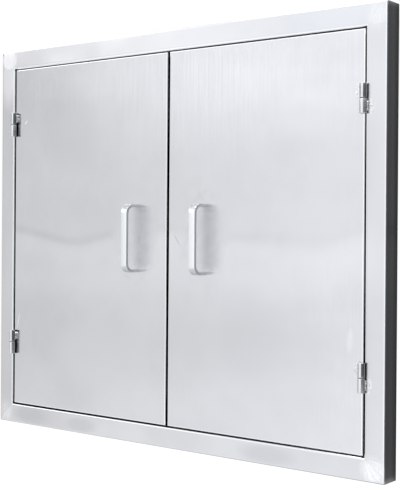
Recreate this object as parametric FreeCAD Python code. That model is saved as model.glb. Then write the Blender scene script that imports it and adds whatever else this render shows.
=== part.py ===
import FreeCAD, Part
import math
import os

# A double access door for an outdoor kitchen island, in millimetres.
# X runs to the right, Y into the island and Z up. The origin is the middle of the frame, in
# the plane where the back edge of its outer return meets the island's face. The right half is
# drawn and mirrored to the left.

Vector = FreeCAD.Vector

# Face frame: one folded channel a side, mitred and welded at the corners
frame_width = 711.2
frame_height = 609.6
frame_face_width = 29.8
frame_return_depth = 31.0
frame_sheet = 1.5
frame_bend_radius = 2.0
lip_bend_radius = 1.5
lip_stop_gap = 0.5
corner_radius = 0.8

# Gusset plates behind the mitres
gusset_leg = 45.0
gusset_sheet = 1.5
gusset_edge_gap = 1.0

# Sleeve that goes through the island's cut-out, with screw holes in all four plates
sleeve_sheet = 1.2
sleeve_reach = 50.0
sleeve_front_gap = 1.0
screw_hole_radius = 2.4
screw_hole_setback = 20.0
screw_hole_end_distance = 75.0

# Doors: a folded outer skin, an inner liner and an upright stiffener behind the handle
door_gap = 2.2
centre_gap = 3.6
door_recess = 1.5
door_thickness = 20.0
door_sheet = 1.0
door_bend_radius = 1.5
liner_sheet = 1.0
liner_flange = 10.0
liner_bend_radius = 0.8
stiffener_sheet = 1.0
stiffener_width = 38.0
stiffener_flange = 12.0
stiffener_end_gap = 6.0

# Handles: flat strip bent to a C, with tenons that are welded inside the skin
handle_height = 101.6
handle_projection = 25.0
handle_strip_width = 11.1
handle_strip_thickness = 4.7
handle_bend_radius = 14.0
handle_edge_radius = 0.4
handle_edge_distance = 61.8
tenon_shoulder = 1.6
tenon_tail = 1.5
tenon_clearance = 0.1
tenon_weld_leg = 2.0

# Weld-on hinges: the door's knuckle turns on a pin that is fixed in the frame's knuckle.
# The barrels nest between the rounded edges, deeper than the frame's face by barrel_nesting.
# The inset is from the middle of the gap towards the door, and the welds' root from the axis.
barrel_radius = 4.75
barrel_length = 38.5
barrel_nesting = 1.1
barrel_chamfer = 0.5
hinge_inset = 1.3
upper_hinge_drop = 89.9
lower_hinge_rise = 100.3
pin_radius = 2.5
pin_reach = 14.0
pin_running_clearance = 0.05
pin_end_clearance = 1.0
washer_thickness = 0.8
washer_edge_inset = 0.35
washer_running_clearance = 0.1
door_weld_root = 2.6
weld_spread = 2.4
weld_height_angle = 15.0
weld_bulge = 0.5
weld_end_margin = 2.5

# Stop angles across the top and bottom of the opening, and the soft bumpers on them
stop_sheet = 1.5
stop_height = 12.0
stop_depth = 20.0
stop_end_gap = 0.5
bumper_radius = 4.0
bumper_thickness = 2.2
bumper_edge_radius = 0.8
bumper_inner_distance = 20.0
bumper_outer_distance = 30.0
rest_gap = 0.3

# Magnetic catches, side by side on one bracket under the top stop
catch_width = 30.0
catch_height = 13.0
catch_depth = 13.0
catch_pair_gap = 8.0
catch_stop_gap = 2.0
catch_edge_radius = 1.0
lug_width = 8.0
lug_thickness = 3.0
pole_sheet = 1.5
pole_proud = 0.5
pole_width = 26.0
magnet_width = 24.0
magnet_height = 6.0
magnet_depth = 9.0
bracket_sheet = 1.5
bracket_edge_margin = 3.0
bracket_toe_gap = 0.5
strike_sheet = 1.2
catch_screw_radius = 1.5
catch_screw_head_radius = 2.7
catch_screw_head_height = 2.0
catch_screw_tail = 2.0
lug_hole_clearance = 0.2

# Frame planes and the clear opening inside the face
face_y = -frame_return_depth
half_width = frame_width / 2
half_height = frame_height / 2
opening_x = half_width - frame_face_width
opening_z = half_height - frame_face_width

# Sleeve: inside faces lie against the frame's lips
sleeve_x = opening_x + frame_sheet
sleeve_z = opening_z + frame_sheet
gusset_back_y = face_y + frame_sheet + gusset_sheet
sleeve_front_y = gusset_back_y + sleeve_front_gap

# Door edges, and the planes behind a closed door
door_inner_x = centre_gap / 2
door_outer_x = opening_x - door_gap
door_z = opening_z - door_gap
door_face_y = face_y + door_recess
skin_back_y = door_face_y + door_sheet
door_back_y = door_face_y + door_thickness
stop_front_y = door_back_y + rest_gap + bumper_thickness
stop_edge_z = opening_z - stop_height
lip_back_y = stop_front_y - lip_stop_gap

# Handle planes
handle_x = door_inner_x + handle_edge_distance
handle_front_y = door_face_y - handle_projection
tenon_tip_y = skin_back_y + tenon_tail

# Hinge axis, in front of the door's edge
hinge_x = opening_x - door_gap / 2 - hinge_inset
hinge_y = face_y - barrel_radius + barrel_nesting
upper_hinge_z = door_z - upper_hinge_drop
lower_hinge_z = -door_z + lower_hinge_rise
knuckle_length = (barrel_length - washer_thickness - washer_running_clearance) / 2

# Catch places
catch_x = catch_pair_gap / 2 + lug_width + catch_width / 2
catch_top_z = stop_edge_z - catch_stop_gap
catch_centre_z = catch_top_z - catch_height / 2
strike_back_y = door_back_y + strike_sheet
catch_front_y = strike_back_y + rest_gap + pole_proud
bracket_front_y = catch_front_y + catch_depth


def box(x0, x1, y0, y1, z0, z1):
    """A block between two corners."""
    return Part.makeBox(x1 - x0, y1 - y0, z1 - z0, Vector(x0, y0, z0))


def cylinder(radius, start, direction, length):
    return Part.makeCylinder(radius, length, start, direction)


def mirrored(shape):
    """The same piece on the other side of the centre line."""
    return shape.mirror(Vector(0, 0, 0), Vector(1, 0, 0))


def flipped(shape):
    """The same piece on the other side of the middle height."""
    return shape.mirror(Vector(0, 0, 0), Vector(0, 0, 1))


def both_sides(shape):
    return [shape, mirrored(shape)]


def near(value, target):
    return abs(value - target) < 0.001


def edges_in_plane(shape, axis, place):
    """Edges that lie wholly in the plane where the given coordinate has the given value."""
    found = []
    for edge in shape.Edges:
        low = getattr(edge.BoundBox, axis + "Min")
        high = getattr(edge.BoundBox, axis + "Max")
        if near(low, place) and near(high, place):
            found.append(edge)
    return found


def edges_along_y(shape, x_places, z_places):
    """Straight edges that run front to back at the given corners."""
    found = []
    for edge in shape.Edges:
        bounds = edge.BoundBox
        if bounds.YLength < 1:
            continue
        at_x = any(near(bounds.XMin, x) and near(bounds.XMax, x) for x in x_places)
        at_z = any(near(bounds.ZMin, z) and near(bounds.ZMax, z) for z in z_places)
        if at_x and at_z:
            found.append(edge)
    return found


def frame_ring():
    """The whole folded channel round the opening, before it is cut at the mitres."""
    body = box(-half_width, half_width, face_y, 0, -half_height, half_height)
    corners = edges_along_y(body, (-half_width, half_width), (-half_height, half_height))
    body = body.makeFillet(corner_radius, corners)
    body = body.makeFillet(frame_bend_radius, edges_in_plane(body, "Y", face_y))
    opening = box(-opening_x, opening_x, face_y - 1, 1, -opening_z, opening_z)
    body = body.cut(opening)
    rim = []
    for edge in edges_in_plane(body, "Y", face_y):
        bounds = edge.BoundBox
        if bounds.XMax < opening_x + 0.001 and bounds.XMin > -opening_x - 0.001:
            rim.append(edge)
    body = body.makeFillet(lip_bend_radius, rim)
    inside_x = half_width - frame_sheet
    inside_z = half_height - frame_sheet
    inside_y = face_y + frame_sheet
    channel = box(-inside_x, inside_x, inside_y, 1, -inside_z, inside_z)
    channel = channel.cut(box(-sleeve_x, sleeve_x, inside_y, 1, -sleeve_z, sleeve_z))
    body = body.cut(channel)
    behind_lip = box(-sleeve_x, sleeve_x, lip_back_y, 1, -sleeve_z, sleeve_z)
    return body.cut(behind_lip)


def mitre_wedge(x_out, z_out, x_in, z_in):
    """A prism whose slanted ends run along the frame's two mitres."""
    corners = [Vector(x, face_y - 1, z) for x, z in zip(x_out + x_in[::-1], z_out + z_in[::-1])]
    outline = Part.makePolygon(corners + corners[:1])
    return Part.Face(outline).extrude(Vector(0, frame_return_depth + 2, 0))


def frame_rails(ring):
    """Top rail and right stile, cut from the ring at forty-five degrees."""
    beyond = 5
    within = frame_face_width + beyond
    far_x = half_width + beyond
    far_z = half_height + beyond
    near_x = half_width - within
    near_z = half_height - within
    top = mitre_wedge([-far_x, far_x], [far_z, far_z], [-near_x, near_x], [near_z, near_z])
    right = mitre_wedge([far_x, far_x], [-far_z, far_z], [near_x, near_x], [-near_z, near_z])
    return ring.common(top), ring.common(right)


def corner_gusset():
    """A flat L behind the face at the upper right mitre."""
    outer_x = half_width - frame_sheet - gusset_edge_gap
    outer_z = half_height - frame_sheet - gusset_edge_gap
    inner_x = sleeve_x + sleeve_sheet + gusset_edge_gap
    inner_z = sleeve_z + sleeve_sheet + gusset_edge_gap
    front_y = face_y + frame_sheet
    upright = box(inner_x, outer_x, front_y, gusset_back_y, outer_z - gusset_leg, outer_z)
    level = box(outer_x - gusset_leg, outer_x, front_y, gusset_back_y, inner_z, outer_z)
    return upright.fuse(level).removeSplitter()


def screw_hole_y():
    return sleeve_reach - screw_hole_setback


def sleeve_top():
    """Plate over the opening, lapped on the top rail's lip, with two screw holes."""
    outer_x = sleeve_x + sleeve_sheet
    outer_z = sleeve_z + sleeve_sheet
    plate = box(-outer_x, outer_x, sleeve_front_y, sleeve_reach, sleeve_z, outer_z)
    hole_x = outer_x - screw_hole_end_distance
    for x in (-hole_x, hole_x):
        start = Vector(x, screw_hole_y(), sleeve_z - 1)
        plate = plate.cut(cylinder(screw_hole_radius, start, Vector(0, 0, 1), sleeve_sheet + 2))
    return plate


def sleeve_side():
    """Plate at the right of the opening, between the top and bottom plates."""
    outer_x = sleeve_x + sleeve_sheet
    plate = box(sleeve_x, outer_x, sleeve_front_y, sleeve_reach, -sleeve_z, sleeve_z)
    hole_z = sleeve_z - screw_hole_end_distance
    for z in (-hole_z, hole_z):
        start = Vector(sleeve_x - 1, screw_hole_y(), z)
        plate = plate.cut(cylinder(screw_hole_radius, start, Vector(1, 0, 0), sleeve_sheet + 2))
    return plate


def tray(x0, x1, half_z, closed_y, open_y, sheet, bend_radius):
    """A folded pan: a flat sheet at closed_y with four walls that reach open_y."""
    into = math.copysign(1, open_y - closed_y)
    low_y = min(closed_y, open_y)
    high_y = max(closed_y, open_y)
    body = box(x0, x1, low_y, high_y, -half_z, half_z)
    body = body.makeFillet(bend_radius, edges_in_plane(body, "Y", closed_y))
    floor_y = closed_y + into * sheet
    past_y = open_y + into
    low_y = min(floor_y, past_y)
    high_y = max(floor_y, past_y)
    inside_z = half_z - sheet
    return body.cut(box(x0 + sheet, x1 - sheet, low_y, high_y, -inside_z, inside_z))


def tenon_block(side_gap, start_y, end_y):
    """The tenon of the upper handle leg, or the slot for it when a side gap is given."""
    half = handle_strip_width / 2 - tenon_shoulder + side_gap
    top_z = handle_height / 2 + side_gap
    low_z = handle_height / 2 - handle_strip_thickness - side_gap
    return box(handle_x - half, handle_x + half, start_y, end_y, low_z, top_z)


def door_skin():
    """Outer pan of the right door, with a slot for each handle tenon."""
    inner_x = door_inner_x
    outer_x = door_outer_x
    skin = tray(inner_x, outer_x, door_z, door_face_y, door_back_y, door_sheet, door_bend_radius)
    slot = tenon_block(tenon_clearance, door_face_y - 1, skin_back_y + 1)
    return skin.cut(slot).cut(flipped(slot))


def door_liner():
    """Inner pan, nested in the skin with its walls turned forwards."""
    x0 = door_inner_x + door_sheet
    x1 = door_outer_x - door_sheet
    half_z = door_z - door_sheet
    front_y = door_back_y - liner_flange
    return tray(x0, x1, half_z, door_back_y, front_y, liner_sheet, liner_bend_radius)


def door_stiffener():
    """Hat channel from the skin to the liner, straddling the handle's welds."""
    half_z = door_z - door_sheet - liner_sheet - stiffener_end_gap
    back_y = door_back_y - liner_sheet
    half = stiffener_width / 2
    foot = half + stiffener_flange
    hat = box(handle_x - half, handle_x + half, skin_back_y, back_y, -half_z, half_z)
    feet = box(
        handle_x - foot, handle_x + foot, skin_back_y, skin_back_y + stiffener_sheet, -half_z, half_z
    )
    inner = half - stiffener_sheet
    hollow = box(
        handle_x - inner,
        handle_x + inner,
        skin_back_y,
        back_y - stiffener_sheet,
        -half_z,
        half_z,
    )
    return hat.fuse(feet).cut(hollow).removeSplitter()


def c_outline(x, front_y, back_y, half_z, radius):
    """Flat C-shaped area in the plane at x, with two round corners at the front."""
    bend = radius * (1 - math.sqrt(0.5))
    edges = [
        Part.LineSegment(Vector(x, back_y, -half_z), Vector(x, front_y + radius, -half_z)),
        Part.Arc(
            Vector(x, front_y + radius, -half_z),
            Vector(x, front_y + bend, -half_z + bend),
            Vector(x, front_y, -half_z + radius),
        ),
        Part.LineSegment(Vector(x, front_y, -half_z + radius), Vector(x, front_y, half_z - radius)),
        Part.Arc(
            Vector(x, front_y, half_z - radius),
            Vector(x, front_y + bend, half_z - bend),
            Vector(x, front_y + radius, half_z),
        ),
        Part.LineSegment(Vector(x, front_y + radius, half_z), Vector(x, back_y, half_z)),
        Part.LineSegment(Vector(x, back_y, half_z), Vector(x, back_y, -half_z)),
    ]
    return Part.Face(Part.Wire([edge.toShape() for edge in edges]))


def door_handle():
    """Strip bent to a C that stands on the skin, with a tenon on each leg."""
    left_x = handle_x - handle_strip_width / 2
    width = Vector(handle_strip_width, 0, 0)
    half_z = handle_height / 2
    outer = c_outline(left_x, handle_front_y, door_face_y, half_z, handle_bend_radius)
    outer = outer.extrude(width)
    inner = c_outline(
        left_x,
        handle_front_y + handle_strip_thickness,
        door_face_y,
        half_z - handle_strip_thickness,
        handle_bend_radius - handle_strip_thickness,
    ).extrude(width)
    strip = outer.cut(inner)
    long_edges = []
    for x in (left_x, left_x + handle_strip_width):
        for edge in edges_in_plane(strip, "X", x):
            if not near(edge.BoundBox.YMin, door_face_y):
                long_edges.append(edge)
    strip = strip.makeFillet(handle_edge_radius, long_edges)
    tenon = tenon_block(0, door_face_y, tenon_tip_y)
    return strip.fuse(tenon).fuse(flipped(tenon)).removeSplitter()


def handle_welds():
    """Square bead round each tenon, on the inside of the skin."""
    bead = tenon_block(tenon_weld_leg, skin_back_y, tenon_tip_y)
    bead = bead.cut(tenon_block(0, skin_back_y - 1, tenon_tip_y + 1))
    return Part.makeCompound([bead, flipped(bead)])


def barrel(low_z, high_z):
    """Round bar on the hinge axis with small chamfers at both ends."""
    bar = cylinder(barrel_radius, Vector(hinge_x, hinge_y, low_z), Vector(0, 0, 1), high_z - low_z)
    rims = edges_in_plane(bar, "Z", low_z) + edges_in_plane(bar, "Z", high_z)
    return bar.makeChamfer(barrel_chamfer, rims)


def split_z(centre_z):
    """Height of the top of the frame's knuckle, where the washer lies."""
    return centre_z - barrel_length / 2 + knuckle_length


def frame_knuckle(centre_z):
    """Lower half of a hinge, drilled for the pin."""
    top_z = split_z(centre_z)
    bar = barrel(top_z - knuckle_length, top_z)
    start = Vector(hinge_x, hinge_y, top_z - pin_reach)
    return bar.cut(cylinder(pin_radius, start, Vector(0, 0, 1), pin_reach + 1))


def door_knuckle(centre_z):
    """Upper half of a hinge, drilled from below to turn on the pin."""
    top_z = centre_z + barrel_length / 2
    low_z = top_z - knuckle_length
    bar = barrel(low_z, top_z)
    start = Vector(hinge_x, hinge_y, low_z - 1)
    tip_z = split_z(centre_z) + washer_thickness + pin_reach + pin_end_clearance
    bore_radius = pin_radius + pin_running_clearance
    return bar.cut(cylinder(bore_radius, start, Vector(0, 0, 1), tip_z - low_z + 1))


def hinge_pin(centre_z):
    low_z = split_z(centre_z) - pin_reach
    length = 2 * pin_reach + washer_thickness
    return cylinder(pin_radius, Vector(hinge_x, hinge_y, low_z), Vector(0, 0, 1), length)


def hinge_washer(centre_z):
    start = Vector(hinge_x, hinge_y, split_z(centre_z))
    up = Vector(0, 0, 1)
    disc = cylinder(barrel_radius - washer_edge_inset, start, up, washer_thickness)
    return disc.cut(cylinder(pin_radius + pin_running_clearance, start, up, washer_thickness))


def weld_bead(side, flat_start, flat_y, low_z, high_z):
    """Fillet weld between a knuckle and the flat beside it, at the door (-1) or the frame (1)."""
    height = flat_y - hinge_y
    toe = barrel_radius + weld_spread
    angle = math.radians(weld_height_angle)
    top_u = barrel_radius * math.cos(angle)
    top_w = barrel_radius * math.sin(angle)
    chord = math.hypot(toe - top_u, height - top_w)
    middle_u = (toe + top_u) / 2 + weld_bulge * (height - top_w) / chord
    middle_w = (height + top_w) / 2 - weld_bulge * (toe - top_u) / chord

    def place(u, w):
        return Vector(hinge_x + side * u, hinge_y + w, low_z)

    edges = [
        Part.LineSegment(place(flat_start, height), place(toe, height)),
        Part.Arc(place(toe, height), place(middle_u, middle_w), place(top_u, top_w)),
        Part.LineSegment(place(top_u, top_w), place(flat_start, top_w)),
        Part.LineSegment(place(flat_start, top_w), place(flat_start, height)),
    ]
    outline = Part.Face(Part.Wire([edge.toShape() for edge in edges]))
    bead = outline.extrude(Vector(0, 0, high_z - low_z))
    start = Vector(hinge_x, hinge_y, low_z - 1)
    return bead.cut(cylinder(barrel_radius, start, Vector(0, 0, 1), high_z - low_z + 2))


def frame_weld(centre_z):
    top_z = split_z(centre_z)
    flat_start = opening_x + lip_bend_radius - hinge_x
    low_z = top_z - knuckle_length + weld_end_margin
    return weld_bead(1, flat_start, face_y, low_z, top_z - weld_end_margin)


def door_weld(centre_z):
    top_z = centre_z + barrel_length / 2
    low_z = top_z - knuckle_length + weld_end_margin
    return weld_bead(-1, door_weld_root, door_face_y, low_z, top_z - weld_end_margin)


def stop_angle():
    """Angle under the top sleeve plate; its leg hangs behind the doors' top edges."""
    half = sleeve_x - stop_end_gap
    back_y = stop_front_y + stop_depth
    level = box(-half, half, stop_front_y, back_y, sleeve_z - stop_sheet, sleeve_z)
    leg = box(-half, half, stop_front_y, stop_front_y + stop_sheet, stop_edge_z, sleeve_z)
    return level.fuse(leg).removeSplitter()


def bumpers():
    """Soft discs on the front of the top stop, two behind each door."""
    centre_z = (door_z + stop_edge_z) / 2
    discs = []
    for x in (door_inner_x + bumper_inner_distance, door_outer_x - bumper_outer_distance):
        start = Vector(x, stop_front_y, centre_z)
        disc = cylinder(bumper_radius, start, Vector(0, -1, 0), bumper_thickness)
        front_rim = edges_in_plane(disc, "Y", stop_front_y - bumper_thickness)
        discs += both_sides(disc.makeFillet(bumper_edge_radius, front_rim))
    return discs


def catch_lug_places():
    """X of the two screws of the right catch."""
    reach = (catch_width + lug_width) / 2
    return (catch_x - reach, catch_x + reach)


def catch_bracket():
    """Angle under the top stop that carries both catches."""
    half = catch_x + catch_width / 2 + lug_width + bracket_edge_margin
    top_z = sleeve_z - stop_sheet
    low_z = catch_top_z - catch_height - bracket_edge_margin
    toe_y = stop_front_y + stop_sheet + bracket_toe_gap
    back_y = bracket_front_y + bracket_sheet
    level = box(-half, half, toe_y, back_y, top_z - bracket_sheet, top_z)
    leg = box(-half, half, bracket_front_y, back_y, low_z, top_z)
    bracket = level.fuse(leg).removeSplitter()
    for x in catch_lug_places():
        start = Vector(x, bracket_front_y - 1, catch_centre_z)
        hole = cylinder(catch_screw_radius, start, Vector(0, 1, 0), bracket_sheet + 2)
        bracket = bracket.cut(hole).cut(mirrored(hole))
    return bracket


def pole_y():
    """Front and back of the pole plates."""
    return catch_front_y - pole_proud, catch_front_y + magnet_depth


def catch_housing():
    """Moulded body of the right catch with a lug at each end and a pocket for the magnet."""
    low_z = catch_top_z - catch_height
    half = catch_width / 2
    body = box(catch_x - half, catch_x + half, catch_front_y, bracket_front_y, low_z, catch_top_z)
    body = body.makeFillet(catch_edge_radius, edges_in_plane(body, "Y", catch_front_y))
    reach = half + lug_width
    lug_y = bracket_front_y - lug_thickness
    lugs = box(catch_x - reach, catch_x + reach, lug_y, bracket_front_y, low_z, catch_top_z)
    body = body.fuse(lugs).removeSplitter()
    pocket_half_z = magnet_height / 2 + pole_sheet
    front_y, back_y = pole_y()
    body = body.cut(
        box(
            catch_x - pole_width / 2,
            catch_x + pole_width / 2,
            front_y,
            back_y,
            catch_centre_z - pocket_half_z,
            catch_centre_z + pocket_half_z,
        )
    )
    for x in catch_lug_places():
        start = Vector(x, lug_y - 1, catch_centre_z)
        radius = catch_screw_radius + lug_hole_clearance
        body = body.cut(cylinder(radius, start, Vector(0, 1, 0), lug_thickness + 2))
    return body


def catch_magnet():
    half = magnet_width / 2
    half_z = magnet_height / 2
    return box(
        catch_x - half,
        catch_x + half,
        catch_front_y,
        catch_front_y + magnet_depth,
        catch_centre_z - half_z,
        catch_centre_z + half_z,
    )


def catch_poles():
    """Steel plates above and below the magnet, a little proud of the housing."""
    half = pole_width / 2
    front_y, back_y = pole_y()
    plates = []
    for low_z in (catch_centre_z - magnet_height / 2 - pole_sheet, catch_centre_z + magnet_height / 2):
        plates.append(box(catch_x - half, catch_x + half, front_y, back_y, low_z, low_z + pole_sheet))
    return Part.makeCompound(plates)


def catch_screws():
    """Pan-head screws through the lugs into the bracket."""
    screws = []
    head_y = bracket_front_y - lug_thickness - catch_screw_head_height
    length = catch_screw_head_height + lug_thickness + bracket_sheet + catch_screw_tail
    for x in catch_lug_places():
        start = Vector(x, head_y, catch_centre_z)
        into = Vector(0, 1, 0)
        head = cylinder(catch_screw_head_radius, start, into, catch_screw_head_height)
        rim = edges_in_plane(head, "Y", head_y)
        head = head.makeFillet(catch_screw_head_height / 2, rim)
        screws += both_sides(head.fuse(cylinder(catch_screw_radius, start, into, length)))
    return Part.makeCompound(screws)


def strike_plate():
    """Steel plate on the liner, opposite the catch's poles."""
    half = catch_width / 2
    low_z = catch_top_z - catch_height
    return box(catch_x - half, catch_x + half, door_back_y, strike_back_y, low_z, catch_top_z)


def frame_nodes():
    """Pieces that stay with the island."""
    top_rail, right_stile = frame_rails(frame_ring())
    gusset = corner_gusset()
    top_plate = sleeve_top()
    side_plate = sleeve_side()
    stop = stop_angle()
    pads = bumpers()
    levels = {"upper": upper_hinge_z, "lower": lower_hinge_z}
    nodes = {
        "frame_top_rail": top_rail,
        "frame_bottom_rail": flipped(top_rail),
        "frame_right_stile": right_stile,
        "frame_left_stile": mirrored(right_stile),
        "corner_gussets": Part.makeCompound(both_sides(gusset) + both_sides(flipped(gusset))),
        "sleeve_top": top_plate,
        "sleeve_bottom": flipped(top_plate),
        "sleeve_right": side_plate,
        "sleeve_left": mirrored(side_plate),
        "top_stop": stop,
        "bottom_stop": flipped(stop),
        "door_bumpers": Part.makeCompound(pads + [flipped(pad) for pad in pads]),
        "catch_bracket": catch_bracket(),
        "catch_screws": catch_screws(),
        "hinge_washers": Part.makeCompound(
            both_sides(hinge_washer(upper_hinge_z)) + both_sides(hinge_washer(lower_hinge_z))
        ),
        "frame_hinge_welds": Part.makeCompound(
            both_sides(frame_weld(upper_hinge_z)) + both_sides(frame_weld(lower_hinge_z))
        ),
    }
    pieces = {
        "catch_housing": catch_housing(),
        "catch_magnet": catch_magnet(),
        "catch_poles": catch_poles(),
    }
    for level, centre_z in levels.items():
        pieces[level + "_frame_knuckle"] = frame_knuckle(centre_z)
        pieces[level + "_hinge_pin"] = hinge_pin(centre_z)
    for name, shape in pieces.items():
        nodes["right_" + name] = shape
        nodes["left_" + name] = mirrored(shape)
    return nodes


def door_nodes():
    """Pieces that swing, for the right door and its mirror image."""
    pieces = {
        "door_skin": door_skin(),
        "door_liner": door_liner(),
        "door_stiffener": door_stiffener(),
        "door_handle": door_handle(),
        "handle_welds": handle_welds(),
        "strike_plate": strike_plate(),
        "upper_door_knuckle": door_knuckle(upper_hinge_z),
        "lower_door_knuckle": door_knuckle(lower_hinge_z),
        "door_hinge_welds": Part.makeCompound([door_weld(upper_hinge_z), door_weld(lower_hinge_z)]),
    }
    nodes = {}
    for name, shape in pieces.items():
        nodes["right_" + name] = shape
        nodes["left_" + name] = mirrored(shape)
    return nodes


os.makedirs("parts", exist_ok=True)
for name, shape in {**frame_nodes(), **door_nodes()}.items():
    shape.exportStep(os.path.join("parts", name + ".step"))
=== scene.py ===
import math

import bmesh
import bpy
import numpy as np
from mathutils import Matrix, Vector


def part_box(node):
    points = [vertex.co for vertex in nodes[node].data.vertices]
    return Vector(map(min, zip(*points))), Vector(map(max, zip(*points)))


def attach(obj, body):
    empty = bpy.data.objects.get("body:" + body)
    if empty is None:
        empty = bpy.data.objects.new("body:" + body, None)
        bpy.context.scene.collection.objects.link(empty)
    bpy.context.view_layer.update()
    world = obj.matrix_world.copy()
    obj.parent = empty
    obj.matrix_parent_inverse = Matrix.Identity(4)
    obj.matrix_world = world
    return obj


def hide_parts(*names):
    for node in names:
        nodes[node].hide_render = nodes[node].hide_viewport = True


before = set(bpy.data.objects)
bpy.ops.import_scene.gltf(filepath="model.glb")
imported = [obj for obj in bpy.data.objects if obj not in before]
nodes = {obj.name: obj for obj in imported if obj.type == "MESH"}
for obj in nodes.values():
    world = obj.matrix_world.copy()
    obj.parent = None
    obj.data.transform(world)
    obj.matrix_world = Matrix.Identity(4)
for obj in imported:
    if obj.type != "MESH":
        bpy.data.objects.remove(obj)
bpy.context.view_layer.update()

# Face frame. Four channels are folded from 1.5 mm stainless sheet, belt-brushed along their
# length, mitred, welded at the corners and ground flush there with a flap disc. The face stands
# 31 mm in front of the island on its outer return, and a lip turns back round the opening.
rail_low, rail_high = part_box("frame_top_rail")
half_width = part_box("frame_right_stile")[1].x
half_height = rail_high.z
face_y = rail_low.y
face_width = rail_high.z - rail_low.z
lip_depth = 0.0235
frame_sheet = 0.0015
outer_bend = 0.002
lip_bend = 0.0015
frame_corner = 0.0008


def arc(first, last, radius, centre, steps=6):
    """Points on a circle between two angles in degrees: centre plus radius times (cos, sin)."""
    angle = np.radians(np.linspace(first, last, steps + 1))
    return np.stack([centre[0] + radius * np.cos(angle), centre[1] + radius * np.sin(angle)], axis=1)


def side_of_ring(half_along, half_out, inset, corner, straight_steps, arc_steps=4):
    """One side of a rounded rectangle, as a row of (along, out) points for each inset.

    A row goes round half of the first corner, straight along the side and round half of the
    second. The corner's radius shrinks by the inset until the corner is sharp.
    """
    inset = np.asarray(inset, float)[:, None]
    radius = np.maximum(corner - inset, 0)
    reach = half_along - inset - radius
    level = half_out - inset - radius
    turn = np.radians(np.linspace(45, 0, arc_steps + 1))
    share = np.linspace(-1, 1, straight_steps + 1)[1:-1]
    end_along = reach + radius * np.sin(turn)
    end_out = level + radius * np.cos(turn)
    straight_out = np.broadcast_to(level + radius, (len(inset), len(share)))
    along = np.hstack([-end_along, reach * share, end_along[:, ::-1]])
    out = np.hstack([end_out, straight_out, end_out[:, ::-1]])
    return along, out


quarter_turns = {
    "top": ((1, 0), (0, 1)), "right": ((0, 1), (-1, 0)),
    "bottom": ((-1, 0), (0, -1)), "left": ((0, -1), (1, 0)),
}


def turned_to(side, along, out):
    """Left-right and up-down places of points given along a side of a rectangle and out from it."""
    across, up = quarter_turns[side]
    return along * across[0] + out * across[1], along * up[0] + out * up[1]


def quads(grid, wrap=False):
    """Points and four-sided faces of a grid; wrap joins its last row to its first."""
    rows, columns = grid.shape[:2]
    number = np.arange(rows * columns).reshape(rows, columns)
    if wrap:
        number = np.vstack([number, number[:1]])
    corners = [number[:-1, :-1], number[:-1, 1:], number[1:, 1:], number[1:, :-1]]
    return grid.reshape(-1, 3), np.stack(corners, axis=-1).reshape(-1, 4)


def new_object(name, data):
    """An object that holds the data, put in the scene."""
    made = bpy.data.objects.new(name, data)
    bpy.context.scene.collection.objects.link(made)
    return made


def piece(node, body, material, shells, sharp_angle=32):
    """A mesh of one or more shells, with double points merged and its faces turned outwards.

    It rides on a body, stands for the node and is named after it.
    """
    name = "dressed_" + node
    points = np.vstack([shell[0] for shell in shells])
    starts = np.cumsum([0] + [len(shell[0]) for shell in shells[:-1]])
    faces = np.vstack([shell[1] + start for shell, start in zip(shells, starts)])
    mesh = bpy.data.meshes.new(name)
    mesh.from_pydata(points.tolist(), [], faces.tolist())
    shape = bmesh.new()
    shape.from_mesh(mesh)
    bmesh.ops.remove_doubles(shape, verts=shape.verts, dist=1e-7)
    bmesh.ops.dissolve_degenerate(shape, edges=shape.edges, dist=1e-8)
    bmesh.ops.recalc_face_normals(shape, faces=shape.faces)
    shape.to_mesh(mesh)
    shape.free()
    mesh.shade_smooth()
    mesh.set_sharp_from_angle(angle=math.radians(sharp_angle))
    mesh.materials.append(material)
    made = new_object(name, mesh)
    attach(made, body)
    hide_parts(node)


def linear(code):
    """An sRGB hex colour as the linear red, green, blue and alpha that a shader takes."""
    srgb = np.array([int(code[i:i + 2], 16) for i in (1, 3, 5)]) / 255
    curved = ((srgb + 0.055) / 1.055) ** 2.4
    return (*np.where(srgb <= 0.04045, srgb / 12.92, curved), 1.0)


def feed(tree, node, inputs):
    """Fills a node's inputs: a value is set, and a socket, or a node's first output, is linked.

    A colour may be given by its hex code.
    """
    open_inputs = [socket for socket in node.inputs if socket.enabled]
    names = [socket.name for socket in open_inputs]
    for name, value in inputs.items():
        socket = open_inputs[name if isinstance(name, int) else names.index(name)]
        if isinstance(value, str):
            value = linear(value)
        if isinstance(value, bpy.types.Node):
            value = next(output for output in value.outputs if output.enabled)
        if isinstance(value, bpy.types.NodeSocket):
            tree.links.new(value, socket)
        else:
            socket.default_value = value


def add(tree, kind, inputs=None, **settings):
    """One shader node of a kind, with its settings, and its inputs filled by number or name."""
    made = tree.nodes.new("ShaderNode" + kind)
    for name, value in settings.items():
        setattr(made, name, value)
    feed(tree, made, inputs or {})
    return made


def finished(name, inputs, build):
    """A material with one Principled shader; build adds the nodes that feed it and returns them.

    Build is given the place in the object, which every pattern is laid out by.
    """
    material = bpy.data.materials.new(name)
    material.use_nodes = True
    tree = material.node_tree
    place = add(tree, "TexCoord").outputs["Object"]
    feed(tree, tree.nodes["Principled BSDF"], {**inputs, **build(tree, place)})
    return material


soft = {"interpolation_type": "SMOOTHSTEP"}
in_colour = {"data_type": "RGBA"}
noise_range = {"From Min": 0.3, "From Max": 0.7}
metal = {"Metallic": 1.0}


def laid_over(tree, under, over, value, first, last):
    """The shade under, giving way softly to the shade over as a value goes from first to last."""
    share = add(tree, "MapRange", {"Value": value, "From Min": first, "From Max": last}, **soft)
    return add(tree, "Mix", {"Factor": share, "A": under, "B": over}, **in_colour)


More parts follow.
